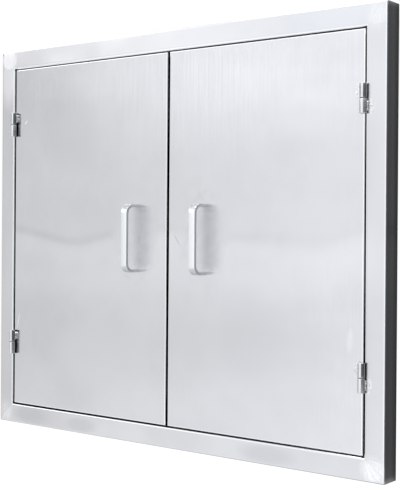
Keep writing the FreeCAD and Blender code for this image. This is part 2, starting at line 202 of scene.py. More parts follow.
def distance_from(tree, value, middle):
    """How far a value lies from a middle, to either side."""
    off = add(tree, "Math", {0: value, 1: middle}, operation="SUBTRACT")
    return add(tree, "Math", {0: off}, operation="ABSOLUTE")


def folded_place(tree, place):
    """Distance out from the middle line, and height, so that both halves are marked alike."""
    parts = add(tree, "SeparateXYZ", {0: place})
    return add(tree, "Math", {0: parts.outputs[0]}, operation="ABSOLUTE"), parts.outputs[2]


def across_grain(tree, grain):
    """Direction in the surface at right angles to the grain, in which a brushed sheet blurs."""
    world_grain = add(tree, "VectorTransform", {0: grain}, convert_from="OBJECT", convert_to="WORLD")
    normal = add(tree, "NewGeometry").outputs["Normal"]
    return add(tree, "VectorMath", {0: normal, 1: world_grain}, operation="CROSS_PRODUCT")


def belt_scratches(tree, place, grain, scratch_width=0.0008, scratch_length=0.07):
    """Noise drawn out along the grain. Real scratches are 0.1 mm wide, too fine to show."""
    scale = [1 / scratch_length if share else 1 / scratch_width for share in grain]
    lines = add(tree, "Mapping", {"Vector": place, "Scale": scale})
    return add(tree, "TexNoise", {"Vector": lines, "Scale": 1.0, "Detail": 3.0})


def share_of_oval(tree, offset, reach):
    """How far out an offset lies in an oval of the given half-sizes, across and up: 1 on its rim."""
    share = {0: offset, 1: (1 / reach[0], 0.0, 1 / reach[1])}
    share = add(tree, "VectorMath", share, operation="MULTIPLY")
    return add(tree, "VectorMath", {0: share}, operation="LENGTH").outputs["Value"]


scuff_offset = 0.006
scuff_reach = (0.008, 0.012)


def scuffed(tree, place, face, half, away, shades):
    """The sheet's shade with mottled marks a centimetre round the hinges' welds, left by heat and a
    wire wheel. They lie outwards (1) or inwards (-1) of the frame's or the door's barrels."""
    outwards, height = folded_place(tree, place)
    here = add(tree, "CombineXYZ", {0: outwards, 2: height})
    nearest = None
    for level in ("upper", "lower"):
        low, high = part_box(f"right_{level}_{half}_knuckle")
        middle = ((low.x + high.x) / 2 + away * scuff_offset, 0.0, (low.z + high.z) / 2)
        offset = add(tree, "VectorMath", {0: here, 1: middle}, operation="SUBTRACT")
        far = share_of_oval(tree, offset, scuff_reach)
        nearest = add(tree, "Math", {0: far, 1: nearest}, operation="MINIMUM") if nearest else far
    grit = add(tree, "TexNoise", {"Vector": place, "Scale": 350.0, "Detail": 3.0})
    mottled = laid_over(tree, *shades, grit, 0.38, 0.6)
    return laid_over(tree, face, mottled, nearest, 1.3, 0.6)


groove_half_width = 0.0055
groove_shadow_fade = 0.001


def groove_shadowed(tree, place, face):
    """The sheet's shade with a painted shadow, dark grey, in the groove along each hinge's barrels,
    where the barrel shades the sheet beside it.
    """
    upper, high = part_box("right_upper_frame_knuckle")
    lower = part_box("right_lower_frame_knuckle")[0]
    axis_x = (upper.x + high.x) / 2
    half_length = (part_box("right_upper_door_knuckle")[1].z - upper.z) / 2
    outwards, height = folded_place(tree, place)
    across = distance_from(tree, outwards, axis_x)
    along = None
    for low in (upper, lower):
        off = distance_from(tree, height, low.z + half_length)
        along = add(tree, "Math", {0: off, 1: along}, operation="MINIMUM") if along else off
    groove_shadow = 1.0
    for distance, limit in ((across, groove_half_width), (along, half_length)):
        span = {"Value": distance, "From Min": limit + groove_shadow_fade, "From Max": limit - groove_shadow_fade}
        share = add(tree, "MapRange", span, **soft)
        groove_shadow = add(tree, "Math", {0: groove_shadow, 1: share}, operation="MULTIPLY")
    # Painted shadow: the groove beside the barrels is mixed to dark grey.
    return add(tree, "Mix", {"Factor": groove_shadow, "A": face, "B": "#4A4A4C"}, **in_colour)


def with_marks_and_reflections(tree, place, face, marks):
    """The sheet's shade with ovals of other shades laid over, stray marks, painted reflections and a
    painted highlight among them: each at (x, z), with half-sizes, a lean and a shade.
    """
    for x, z, half_x, half_z, lean, shade in marks:
        laid = {"Location": (x, 0.0, z), "Scale": (half_x, 1.0, half_z)}
        laid["Rotation"] = (0.0, math.radians(lean), 0.0)
        oval = add(tree, "Mapping", {"Vector": place, **laid}, vector_type="TEXTURE")
        far = add(tree, "VectorMath", {0: oval}, operation="LENGTH").outputs["Value"]
        face = laid_over(tree, face, shade, far, 1.2, 0.4)
    return face


frame_marks_and_reflections = [
    # Darker ovals on the bottom rail.
    (-0.172, -0.292, 0.036, 0.013, 0, "#D0D1D5"),
    (-0.285, -0.289, 0.045, 0.016, 0, "#CFD0D4"),
    (0.178, -0.2905, 0.050, 0.015, 0, "#D0D1D6"),
    # Painted reflection: a bright haze high on the left stile.
    (-0.341, 0.260, 0.020, 0.050, 0, "#EDEEF2"),
    # A slightly lighter oval low on the left stile.
    (-0.341, -0.150, 0.020, 0.100, 0, "#D8D9DD"),
]
left_and_right_grinding = {"bottom": (0.7, 1.0), "top": (2.2, 0.3)}
disc_full, disc_gone = 0.022, 0.038
disc_wander = 0.03


def corner_strength(tree, place):
    """How much the flap disc shows at each corner, which differs from one weld to the next."""
    across, _, up = add(tree, "SeparateXYZ", {0: place}).outputs
    is_right = add(tree, "Math", {0: across, 1: 0.0}, operation="GREATER_THAN")
    is_top = add(tree, "Math", {0: up, 1: 0.0}, operation="GREATER_THAN")
    bottom, top = (
        add(tree, "Mix", {"Factor": is_right, "A": left, "B": right})
        for left, right in left_and_right_grinding.values()
    )
    return add(tree, "Mix", {"Factor": is_top, "A": bottom, "B": top})


def from_corner(tree, place, inset, depth):
    """Offset outwards from a point of the nearest mitre, at an inset from the frame's edges."""
    folded = add(tree, "VectorMath", {0: place}, operation="ABSOLUTE")
    corner = (half_width - inset, depth, half_height - inset)
    return add(tree, "VectorMath", {0: folded, 1: corner}, operation="SUBTRACT")


def disc_strength(tree, place, cloud):
    """How much the flap disc shows: most at the middle of a mitre and nothing about 23 mm away,
    with an edge that wanders with the clouds."""
    offset = from_corner(tree, place, face_width / 2, -face_y)
    reach = add(tree, "VectorMath", {0: offset}, operation="LENGTH").outputs["Value"]
    edge = add(tree, "Math", {0: cloud, 1: disc_wander, 2: reach}, operation="MULTIPLY_ADD")
    disc = add(tree, "MapRange", {"Value": edge, "From Min": disc_gone, "From Max": disc_full}, **soft)
    return add(tree, "Math", {0: disc, 1: corner_strength(tree, place)}, operation="MULTIPLY")


def disc_rays(tree, place, scratch):
    """The disc's haze: brighter and duller rays that fan out from the corner of the opening."""
    offset = from_corner(tree, place, face_width, 0.0)
    outwards, depth, upwards = add(tree, "SeparateXYZ", {0: offset}).outputs
    bearing = add(tree, "Math", {0: upwards, 1: outwards}, operation="ARCTAN2")
    spoke = add(tree, "CombineXYZ", {0: bearing, 1: depth, 2: scratch})
    fan = add(tree, "TexNoise", {"Vector": spoke, "Scale": 4.0, "Detail": 2.0})
    return laid_over(tree, "#E4E5E8", "#FDFDFE", fan, 0.3, 0.7)


# Where the painted highlight along the bends fades out, and where the painted shade on the lowest
# underside and on the walls begins.
bend_highlight_full, bend_highlight_gone = 0.0012, 0.0026
wall_begins, wall_full = 0.0012, 0.003
underside_full, underside_gone = 0.0008, 0.0018
shade_begins, shade_full = -0.014, -0.001


def frame_bends(tree, place, face):
    """The sheet's shade with a painted highlight along the bends, painted shade on the lowest bend's
    underside, and walls painted darker towards the island as shade."""
    offset = from_corner(tree, place, face_width, 0.0)
    outwards, _, upwards = add(tree, "SeparateXYZ", {0: offset}).outputs
    outline = add(tree, "Math", {0: outwards, 1: upwards}, operation="MAXIMUM")
    off_middle = distance_from(tree, outline, face_width / 2)
    limits = (face_width / 2 - bend_highlight_gone, face_width / 2 - bend_highlight_full)
    # Painted highlight: a pale line along each bend.
    face = laid_over(tree, face, "#F0F1F4", off_middle, *limits)
    depth, height = add(tree, "SeparateXYZ", {0: place}).outputs[1:3]
    # Painted shade: the underside of the lowest bend is greyer.
    above_foot = add(tree, "Math", {0: height, 1: half_height}, operation="ADD")
    span = {"Value": above_foot, "From Min": underside_gone, "From Max": underside_full}
    underside_shade = add(tree, "MapRange", span)
    face = add(tree, "Mix", {"Factor": underside_shade, "A": face, "B": "#B9BABD"}, **in_colour)
    # Painted shade: the walls behind the face darken towards the island.
    island_shade_share = add(tree, "MapRange", {"Value": depth, "From Min": shade_begins, "From Max": shade_full})
    wall_shade = add(tree, "Mix", {"Factor": island_shade_share, "A": "#CACBCE", "B": "#8C8D90"}, **in_colour)
    return laid_over(tree, face, wall_shade, depth, face_y + wall_begins, face_y + wall_full)


def frame_steel(name, grain, tones):
    """Belt-brushed stainless 304: pale cool grey, blurred across the grain, with a brighter haze
    where the flap disc has swept the mitre welds flush from side to side."""

    def build(tree, place):
        scratch = belt_scratches(tree, place, grain)
        cloud = add(tree, "TexNoise", {"Vector": place, "Scale": 9.0, "Detail": 3.0})
        haze = add(tree, "MapRange", {"Value": cloud, **noise_range}, **soft)
        face = add(tree, "Mix", {"Factor": haze, "A": tones[0], "B": tones[1]}, **in_colour)
        ground = disc_strength(tree, place, cloud)
        swept = {"Factor": ground, "A": face, "B": disc_rays(tree, place, scratch)}
        face = add(tree, "Mix", swept, **in_colour)
        face = scuffed(tree, place, face, "frame", 1, ("#CDCED0", "#E6E7E9"))
        face = with_marks_and_reflections(tree, place, groove_shadowed(tree, place, face), frame_marks_and_reflections)
        blur = {"Factor": ground, "A": across_grain(tree, grain), "B": across_grain(tree, (1, 0, 0))}
        return {
            "Base Color": frame_bends(tree, place, face),
            "Roughness": add(tree, "MapRange", {"Value": haze, "To Min": 0.16, "To Max": 0.19}),
            "Tangent": add(tree, "Mix", blur, data_type="VECTOR"),
            "Normal": add(tree, "Bump", {"Height": scratch, "Strength": 0.15, "Distance": 0.00001}),
        }

    return finished(name, {**metal, "Anisotropic": 1.0}, build)


rail_steel = frame_steel("brushed stainless, grain along the rails", (1, 0, 0), ("#D7D8DC", "#DFE0E4"))
stile_steel = frame_steel("brushed stainless, grain up the stiles", (0, 0, 1), ("#D1D2D6", "#D7D8DC"))


fold_start = 0.021
fold_fade = 0.005
mitre_fade = 0.008
rail_steps = 72


def channel_section():
    """Inset and depth of the folded channel's outer and inner surfaces, point by point."""
    depth = -face_y
    face_insets = np.array([0.004, 0.008, 0.0145, fold_start, 0.025])
    lip_rows = np.array([lip_bend + 0.4 * fold_fade, lip_bend + fold_fade, lip_depth])
    outer_centre = (outer_bend, outer_bend - depth)
    lip_centre = (face_width - lip_bend, lip_bend - depth)
    ends = (
        np.array([[0.0, 0.0], [0.0, outer_bend - depth]]),
        np.stack([np.full(len(lip_rows), face_width), lip_rows - depth], axis=1),
    )
    surfaces = []
    for sheet in (0.0, frame_sheet):
        surfaces.append(np.vstack([
            ends[0] + [sheet, 0.0],
            arc(180, 270, outer_bend - sheet, outer_centre)[1:],
            np.stack([face_insets, np.full(len(face_insets), sheet - depth)], axis=1),
            arc(270, 360, lip_bend - sheet, lip_centre),
            ends[1] - [sheet, 0.0],
        ]))
    return surfaces


def face_ripple(x, z, inset):
    """Unevenness of the rolled face: slow sines along the frame, fading to nothing at the bends."""
    height, fade = 0.00008, 0.008
    from_bend = np.minimum(inset - outer_bend, face_width - lip_bend - inset)
    sines = np.sin(23 * x + 17 * z + 1.0) + 0.6 * np.sin(41 * x - 29 * z)
    return height * np.clip(from_bend / fade, 0, 1) * sines


def fold_offset(along, half_along, section, folds):
    """How far the lip's fold stands in from its true line, between the values at the side's ends.

    It fades out over the face, within 5 mm behind the bend and towards the mitres.
    """
    inset, depth = section[:, :1], section[:, 1:]
    first, last = folds
    offset = first + (last - first) * (along / half_along + 1) / 2
    over_face = np.clip((inset - fold_start) / (face_width - fold_start), 0, 1)
    behind = np.clip((depth - face_y - lip_bend) / fold_fade, 0, 1)
    to_mitre = np.clip((half_along - face_width - np.abs(along)) / mitre_fade, 0, 1)
    return offset * over_face ** 2 * (1 - behind) * to_mitre


def frame_rail(node, side, half_along, half_out, material, folds):
    """The channel's section carried along one side of the ring and closed at both mitres."""
    outer, inner = channel_section()
    loop = np.vstack([outer, inner[::-1]])
    along, out = side_of_ring(half_along, half_out, loop[:, 0], frame_corner, rail_steps)
    x, z = turned_to(side, along, out - fold_offset(along, half_along, loop, folds))
    y = loop[:, 1:] + face_ripple(x, z, loop[:, :1])
    grid = np.stack([x, np.broadcast_to(y, x.shape), z], axis=-1)
    points, faces = quads(grid, wrap=True)
    steps = np.arange(len(outer) - 1)
    columns = x.shape[1]
    last = len(loop) - 1
    cap = np.stack([steps, steps + 1, last - steps - 1, last - steps], axis=1) * columns
    faces = np.vstack([faces, cap, cap + columns - 1])
    piece(node, "frame", material, [(points, faces)])


for side, kind, half_along, half_out, steel, folds in (
    ("top", "rail", half_width, half_height, rail_steel, (0.0012, 0.0007)),
    ("bottom", "rail", half_width, half_height, rail_steel, (0.0006, -0.0003)),
    ("right", "stile", half_height, half_width, stile_steel, (0.0003, -0.0014)),
    ("left", "stile", half_height, half_width, stile_steel, (0.0003, 0.0003)),
):
    frame_rail(f"frame_{side}_{kind}", side, half_along, half_out, steel, folds)

# Inner sheet metal. The corner gussets, the sleeve through the island's cut-out, the stop angles
# and the catch bracket are cut from stainless sheet as the mill rolled it, and spot-welded.


def mill_finish(tree, place):
    """Cold-rolled 2B sheet: an even, soft grey with faint handling marks."""
    cloud = add(tree, "TexNoise", {"Vector": place, "Scale": 14.0, "Detail": 4.0})
    marks = add(tree, "TexNoise", {"Vector": place, "Scale": 60.0, "Detail": 2.0, "Distortion": 1.5})
    shine = {"Value": marks, **noise_range, "To Min": 0.33, "To Max": 0.42}
    return {
        "Base Color": laid_over(tree, "#BFC0C2", "#CCCDCF", cloud, 0.3, 0.7),
        "Roughness": add(tree, "MapRange", shine),
        "Normal": add(tree, "Bump", {"Height": cloud, "Strength": 0.1, "Distance": 0.0005}),
    }


mill_steel = finished("cold-rolled stainless, mill finish", metal, mill_finish)


def dress(material, *names):
    """Gives shown CAD nodes their finish."""
    for name in names:
        nodes[name].data.materials.clear()
        nodes[name].data.materials.append(material)


dress(mill_steel, "corner_gussets", "sleeve_top", "sleeve_bottom", "sleeve_left", "sleeve_right")
dress(mill_steel, "top_stop", "bottom_stop", "catch_bracket")

# Door bumpers. Small self-adhesive domes of clear silicone on the stop angles, frosted by the
# mould, that the closed doors rest against.


def frosted(tree, place):
    """Milky clear rubber with the fine frost of a blasted mould and a little trapped dust."""
    frost = add(tree, "TexNoise", {"Vector": place, "Scale": 2200.0, "Detail": 2.0})
    dust = add(tree, "TexNoise", {"Vector": place, "Scale": 420.0, "Detail": 3.0})
    return {
        "Base Color": laid_over(tree, "#E6E6E2", "#C9C7C0", dust, 0.62, 0.7),
        "Roughness": add(tree, "MapRange", {"Value": frost, "To Min": 0.35, "To Max": 0.55}),
        "Normal": add(tree, "Bump", {"Height": frost, "Strength": 0.3, "Distance": 0.0001}),
    }


silicone = finished("cast silicone, frosted", {"Transmission Weight": 0.5, "IOR": 1.41}, frosted)
dress(silicone, "door_bumpers")

# Magnetic catches. A moulded nylon housing holds a ferrite block between two zinc-plated pole
# plates, and pan-head screws fix it to the bracket. A plated strike on each door meets it.


def moulded(tree, place):
    """Black nylon from a spark-eroded mould: a grain of about 0.4 mm, worn shinier on its crests."""
    grain = add(tree, "TexVoronoi", {"Vector": place, "Scale": 2500.0})
    cloud = add(tree, "TexNoise", {"Vector": place, "Scale": 90.0, "Detail": 2.0})
    return {
        "Base Color": add(tree, "Mix", {"Factor": cloud, "A": "#37373A", "B": "#424246"}, **in_colour),
        "Roughness": add(tree, "MapRange", {"Value": grain, "To Min": 0.42, "To Max": 0.6}),
        "Normal": add(tree, "Bump", {"Height": grain, "Strength": 0.4, "Distance": 0.00008}),
    }


def pressed(tree, place):
    """Ferrite: charcoal grey, with the pale grains and pits that grinding opens."""
    grains = add(tree, "TexNoise", {"Vector": place, "Scale": 1600.0, "Detail": 3.0})
    return {
        "Base Color": laid_over(tree, "#4A4A4C", "#68686A", grains, 0.35, 0.65),
        "Normal": add(tree, "Bump", {"Height": grains, "Strength": 0.5, "Distance": 0.0001}),
    }


def plated(tree, place):
    """Bright zinc: bluish silver with a faint straw bloom and the rolled steel's marks under it."""
    bloom = add(tree, "TexNoise", {"Vector": place, "Scale": 130.0, "Detail": 3.0})
    marks = add(tree, "TexNoise", {"Vector": place, "Scale": 900.0, "Detail": 2.0})
    return {
        "Base Color": laid_over(tree, "#CDD2DC", "#DDDBD2", bloom, 0.35, 0.65),
        "Roughness": add(tree, "MapRange", {"Value": marks, "To Min": 0.18, "To Max": 0.34}),
    }


both_sides = (("left", -1), ("right", 1))
catch_plastic = finished("moulded nylon, fine matt", {}, moulded)
ferrite = finished("pressed ferrite, ground", {"Roughness": 0.6}, pressed)
zinc = finished("bright zinc plate", metal, plated)
for side, sign in both_sides:
    dress(catch_plastic, side + "_catch_housing")
    dress(ferrite, side + "_catch_magnet")
    dress(zinc, side + "_catch_poles", side + "_strike_plate")
dress(zinc, "catch_screws")

# Hinges. Each is two short barrels turned from stainless bar on a fixed pin, with an acetal
# washer between them. One barrel is welded to the frame and the other to the door.
barrel_low, barrel_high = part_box("right_upper_frame_knuckle")
barrel_radius = (barrel_high.x - barrel_low.x) / 2
hinge_x = (barrel_high.x + barrel_low.x) / 2
hinge_y = (barrel_high.y + barrel_low.y) / 2
barrel_rounding = 0.0005
bore_radius = 0.0025
bore_depth = 0.014


def barrel_finish(name, shades, gloss):
    """Turned stainless with fine turning rings, between two shades and two roughnesses."""

    def build(tree, place):
        rings = add(tree, "Mapping", {"Vector": place, "Scale": (40.0, 40.0, 2500.0)})
        turning = add(tree, "TexNoise", {"Vector": rings, "Scale": 1.0, "Detail": 1.0})
        tones = {"Factor": turning, "A": shades[0], "B": shades[1]}
        shine = {"Value": turning, **noise_range, "To Min": gloss[0], "To Max": gloss[1]}
        return {
            "Base Color": add(tree, "Mix", tones, **in_colour),
            "Roughness": add(tree, "MapRange", shine),
        }

    return finished(name, metal, build)


def turned_plastic(tree, place):
    """Black acetal from the lathe: smooth, with tool rings a sixth of a millimetre apart."""
    rings = add(tree, "Mapping", {"Vector": place, "Scale": (60.0, 60.0, 6000.0)})
    tool = add(tree, "TexNoise", {"Vector": rings, "Scale": 1.0, "Detail": 1.0})
    return {
        "Base Color": add(tree, "Mix", {"Factor": tool, "A": "#262628", "B": "#333336"}, **in_colour),
        "Roughness": add(tree, "MapRange", {"Value": tool, "To Min": 0.35, "To Max": 0.5}),
    }


door_barrel = barrel_finish("turned stainless, polished", ("#C6C7CA", "#DEDFE2"), (0.07, 0.12))
frame_barrel = barrel_finish("turned stainless, satin", ("#D0D1D3", "#E6E7E9"), (0.26, 0.34))
acetal = finished("turned acetal, black", {}, turned_plastic)
dress(acetal, "hinge_washers")


def turned(profile, centre, steps=48):
    """A profile of (radius, height) points turned about the upright line through centre."""
    angle = np.linspace(0, 2 * math.pi, steps, endpoint=False)[:, None]
    x = centre[0] + profile[:, 0] * np.cos(angle)
    y = centre[1] + profile[:, 0] * np.sin(angle)
    z = np.broadcast_to(profile[:, 1], x.shape)
    return quads(np.stack([x, y, z], axis=-1), wrap=True)


def knuckle(node, body, sign, open_up, steel):
    """A barrel with rounded rims, bored from the end where the pin goes in."""
    low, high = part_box(node)
    edge = barrel_radius - barrel_rounding
    length = high.z - low.z
    profile = np.vstack([
        [[0.0, 0.0]],
        arc(-90, 0, barrel_rounding, (edge, barrel_rounding)),
        arc(0, 90, barrel_rounding, (edge, length - barrel_rounding)),
        [[bore_radius, length], [bore_radius, length - bore_depth], [0.0, length - bore_depth]],
    ])
    heights = low.z + profile[:, 1] if open_up else high.z - profile[:, 1]
    shell = turned(np.stack([profile[:, 0], heights], axis=1), (sign * hinge_x, hinge_y))
    piece(node, body, steel, [shell])


door_face_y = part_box("right_door_skin")[0].y
weld_reach = 0.0024
weld_seats = {"frame": 0.0039, "door": 0.0026}
weld_sink = 0.0001
ripple_pitch = 0.0016
flank_angle = 0.3
bead_bulge, ripple_height = 0.0006, 0.00012


def weld_shell(low_z, high_z, sign, half):
    """A fillet bead between a barrel and the frame's or the door's sheet, from low_z to high_z.

    Across, the surface is a chord from the toe on the sheet to the barrel's flank, bulged by a
    half sine. Along, small crescent ripples follow the torch, the toe wanders by two slow sines,
    and both ends close in roundly.
    """
    away = sign if half == "frame" else -sign
    weld_seat = weld_seats[half]
    share = np.linspace(0, 1, 13)[None, :]
    run = np.linspace(-1, 1, 73)[:, None]
    z = (low_z + high_z) / 2 + run * (high_z - low_z) / 2
    height = {"frame": face_y, "door": door_face_y}[half] - hinge_y + weld_sink
    wander = 1 + 0.13 * np.sin(z * 900) + 0.08 * np.sin(z * 2100 + 1)
    toe = barrel_radius + weld_reach * wander
    flank = barrel_radius * np.array([math.cos(flank_angle), math.sin(flank_angle)])
    crescent = np.sin(2 * math.pi * (z / ripple_pitch + 0.5 * (2 * share - 1) ** 2))
    bulge = (bead_bulge + ripple_height * crescent) * np.sin(math.pi * share)
    u = toe + (flank[0] - toe) * share + bulge * 0.8
    w = height + (flank[1] - height) * share - bulge * 0.6
    hidden = np.array([[flank[0] * 0.7, flank[1] + 0.001], [weld_seat, height]])
    u = np.hstack([u, np.broadcast_to(hidden[:, 0], (len(run), 2))])
    w = np.hstack([w, np.broadcast_to(hidden[:, 1], (len(run), 2))])
    close = np.sqrt(np.maximum(1 - run ** 6, 0))
    u = weld_seat + close * (u - weld_seat)
    w = height + close * (w - height)
    grid = np.stack([sign * hinge_x + away * u, hinge_y + w, np.broadcast_to(z, u.shape)], axis=-1)
    return quads(grid.transpose(1, 0, 2), wrap=True)


def laid_bead(tree, place):
    """Weld metal as laid and wire brushed: a random mottle of dark grey and near white, the pale parts
    smoother, partly soot and brushing and partly painted glints and painted shade.
    """
    # Painted glints and shade: the noise mottles the bead dark grey and near white, partly as soot and
    # brushing.
    soot_and_glints = add(tree, "TexNoise", {"Vector": place, "Scale": 700.0, "Detail": 3.0})
    brushed = add(tree, "MapRange", {"Value": soot_and_glints, "From Min": 0.38, "From Max": 0.62}, **soft)
    return {
        "Base Color": add(tree, "Mix", {"Factor": brushed, "A": "#757577", "B": "#D6D7D9"}, **in_colour),
        "Roughness": add(tree, "MapRange", {"Value": brushed, "To Min": 0.3, "To Max": 0.12}),
    }


weld_steel = finished("weld bead, wire brushed", metal, laid_bead)
weld_end_margin = 0.0025


def weld_beads(node, body, signs, half):
    """The beads of one node, beside the upper and lower barrels of the frame or of a door."""
    shells = []
    for level in ("upper", "lower"):
        low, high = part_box(f"right_{level}_{half}_knuckle")
        for sign in signs:
            shells.append(weld_shell(low.z + weld_end_margin, high.z - weld_end_margin, sign, half))
    piece(node, body, weld_steel, shells, sharp_angle=60)


for side, sign in both_sides:
    for level in ("upper", "lower"):
        knuckle(f"{side}_{level}_frame_knuckle", "frame", sign, True, frame_barrel)
        dress(door_barrel, f"{side}_{level}_hinge_pin")
weld_beads("frame_hinge_welds", "frame", (-1, 1), "frame")

# Doors. An outer pan of brushed stainless with its grain upright closes over an inner pan, and
# a hat channel stiffens it behind the handle. The wide face is a little uneven, as thin sheet is.
skin_low, skin_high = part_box("right_door_skin")
door_half_width = (skin_high.x - skin_low.x) / 2
door_middle = (skin_high.x + skin_low.x) / 2
door_half_height = skin_high.z
door_sheet = 0.001
skin_bend = 0.0015
liner_low, liner_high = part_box("right_door_liner")
liner_bend = 0.0008
pan_corner = 0.0006
flat_margin = 0.0006


def pan_shells(half_x, half_z, bend, depth, wave, values=()):
    """A folded pan as one closed sheet, face at depth 0 and walls to the given depth.

    Rings of points follow the wall and the bend inwards, outside and inside of the sheet, and a
    rectangular grid fills the flat face of each. Wave gives the flat's unevenness at (x, z) with
    the given values, and it fades out at the edges.
    """
    edge = max(bend, pan_corner) + flat_margin
    surfaces = []
    for sheet in (0.0, door_sheet):
        turn_at = max(bend, sheet)
        surfaces.append(np.vstack([
            [[sheet, depth], [sheet, depth / 2]],
            arc(180, 270, turn_at - sheet, (turn_at, turn_at)),
            [[max(edge, turn_at), sheet]],
        ]))
    rings = np.vstack([surfaces[0][::-1], surfaces[1]])
    steps_x, steps_z = 40, 64
    shells = []
    for side in quarter_turns:
        lying = side in ("top", "bottom")
        reach, steps = ((half_x, half_z), steps_x) if lying else ((half_z, half_x), steps_z)
        x, z = turned_to(side, *side_of_ring(*reach, rings[:, 0], pan_corner, steps))
        shells.append(quads(np.stack([x, np.broadcast_to(rings[:, 1:], x.shape), z], axis=-1)))
    for inset, level in ((rings[0, 0], 0.0), (rings[-1, 0], door_sheet)):
        x, z = np.meshgrid(
            np.linspace(inset - half_x, half_x - inset, steps_x + 1),
            np.linspace(inset - half_z, half_z - inset, steps_z + 1),
        )
        fade = (1 - (x / (half_x - inset)) ** 8) * (1 - (z / (half_z - inset)) ** 8)
        shells.append(quads(np.stack([x, level + wave(x, z, *values) * fade, z], axis=-1)))
    return shells


face_waves = {
    "left": ((0.0062, -0.0022, -0.0010, 0.0009), 20, (0.3, 9, 0.0), (41, 1.1, 12), (19, 0.4)),
    "right": ((0.0066, -0.0024, 0.0012, -0.0005), 18, (0.4, 8, 1.0), (37, -0.6, -14), (23, 1.7)),
}


def face_wave(x, z, leans, pace, sway, up, sideways):
    """Unevenness of a door's face in metres, x from its middle towards the hinges.

    A slow standing wave up the door, at a pace in radians per metre, leans by a sum of half sines
    from edge to edge, most on the hinges' side. It sways a little, and a quick ripple lies over it.
    """
    across = np.pi * (x / door_half_width + 1) / 2
    lean = sum(share * np.sin(order * across) for order, share in enumerate(leans, 1))
    slow = lean / pace * np.sin(pace * z + sway[0] * np.sin(sway[1] * x + sway[2]))
    quick = np.sin(up[0] * z + up[1] + up[2] * x) * np.cos(sideways[0] * x + sideways[1])
    return slow + 0.000035 * quick


def liner_wave(x, z):
    """Shallow crowns and hollows of the inner pan, a quarter of a metre apart."""
    return 0.00015 * np.sin(12 * z + 1) * np.cos(13 * x)


handle_low, handle_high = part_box("right_door_handle")
handle_middle = (handle_high.x + handle_low.x) / 2
touch_reach = (0.045, 0.085)
door_marks_and_reflections = [
    # Painted reflections: four broad clouds, two darker and two lighter, of the room mirrored in the
    # uneven sheet.
    (-0.200, 0.170, 0.075, 0.070, 0, "#D4D5D9"),
    (-0.155, -0.180, 0.085, 0.060, 0, "#DBDCE0"),
    (0.240, 0.172, 0.070, 0.040, 0, "#DCDDE1"),
    (0.148, -0.144, 0.075, 0.065, 0, "#D4D5D9"),
    # Painted highlight: a wire-brush scratch painted pure white as its glint.
    (-0.2993, 0.1858, 0.0013, 0.0045, 45, "#FFFFFF"),
    # Stray marks: a thin pale arc, a faint pale smear and a faint scribble.
    (-0.3145, -0.1378, 0.001, 0.016, 12, "#F4F5F7"),
    (0.3041, -0.1273, 0.0055, 0.018, 5, "#DFE0E4"),
    (0.0177, -0.0015, 0.002, 0.010, -35, "#CDCED2"),
]


def finger_strength(tree, place, prints):
    """Where hands touch the door: all round the grip, fading out over a patchy edge."""
    outwards, height = folded_place(tree, place)
    from_grip = add(tree, "Math", {0: outwards, 1: handle_middle}, operation="SUBTRACT")
    touch = add(tree, "CombineXYZ", {0: from_grip, 2: height})
    touch = share_of_oval(tree, touch, touch_reach)
    smear = add(tree, "Math", {0: prints, 1: 0.5, 2: touch}, operation="MULTIPLY_ADD")
    return add(tree, "MapRange", {"Value": smear, "From Min": 1.4, "From Max": 0.7}, **soft)


def door_bends(tree, place, face):
    """The sheet's shade with a painted highlight along the bends and painted shade on the walls inside
    the gaps.
    """
    outwards, height = folded_place(tree, place)
    upright = add(tree, "Math", {0: height}, operation="ABSOLUTE")
    from_middle = distance_from(tree, outwards, door_middle)
    to_side = add(tree, "Math", {0: door_half_width, 1: from_middle}, operation="SUBTRACT")
    to_end = add(tree, "Math", {0: door_half_height, 1: upright}, operation="SUBTRACT")
    to_edge = add(tree, "Math", {0: to_side, 1: to_end}, operation="MINIMUM")
    # Painted highlight: a pale line along each bend.
    face = laid_over(tree, face, "#F0F1F4", to_edge, bend_highlight_gone, bend_highlight_full)
    depth = add(tree, "SeparateXYZ", {0: place}).outputs[1]
    # Painted shade: the walls inside the gaps are dark grey.
    return laid_over(tree, face, "#5C5D60", depth, door_face_y + wall_begins, door_face_y + wall_full)


def door_face(tree, place):
    """Belt-brushed stainless 304 with upright grain: bands of the room, kept sharp upwards and
    blurred sideways, and blurred more by finger haze round the handle."""
    scratch = belt_scratches(tree, place, (0, 0, 1), 0.0003, 0.3)
    cloud = add(tree, "TexNoise", {"Vector": place, "Scale": 6.0, "Detail": 5.0, "Roughness": 0.65})
    haze = add(tree, "MapRange", {"Value": cloud, **noise_range}, **soft)
    face = add(tree, "Mix", {"Factor": haze, "A": "#D5D6DA", "B": "#DBDCE0"}, **in_colour)
    prints = add(tree, "TexNoise", {"Vector": place, "Scale": 85.0, "Detail": 3.0})
    greasy = add(tree, "Mix", {"Factor": prints, "A": "#D0D1D5", "B": "#DEDFE3"}, **in_colour)
    fingered = finger_strength(tree, place, prints)
    face = add(tree, "Mix", {"Factor": fingered, "A": face, "B": greasy}, **in_colour)
    face = scuffed(tree, place, face, "door", -1, ("#CBCCCE", "#E3E4E7"))
    face = with_marks_and_reflections(tree, place, groove_shadowed(tree, place, face), door_marks_and_reflections)
    gloss = add(tree, "MapRange", {"Value": haze, "To Min": 0.08, "To Max": 0.1})
    return {
        "Base Color": door_bends(tree, place, face),
        "Roughness": add(tree, "Mix", {"Factor": fingered, "A": gloss, "B": 0.26}),
        "Tangent": across_grain(tree, (0, 0, 1)),
        "Normal": add(tree, "Bump", {"Height": scratch, "Strength": 0.5, "Distance": 0.0001}),
    }


door_steel = finished("brushed stainless, grain upright", {**metal, "Anisotropic": 1.0}, door_face)
edge_trim = 0.0002
trim_from, trim_run = -0.1, 0.08


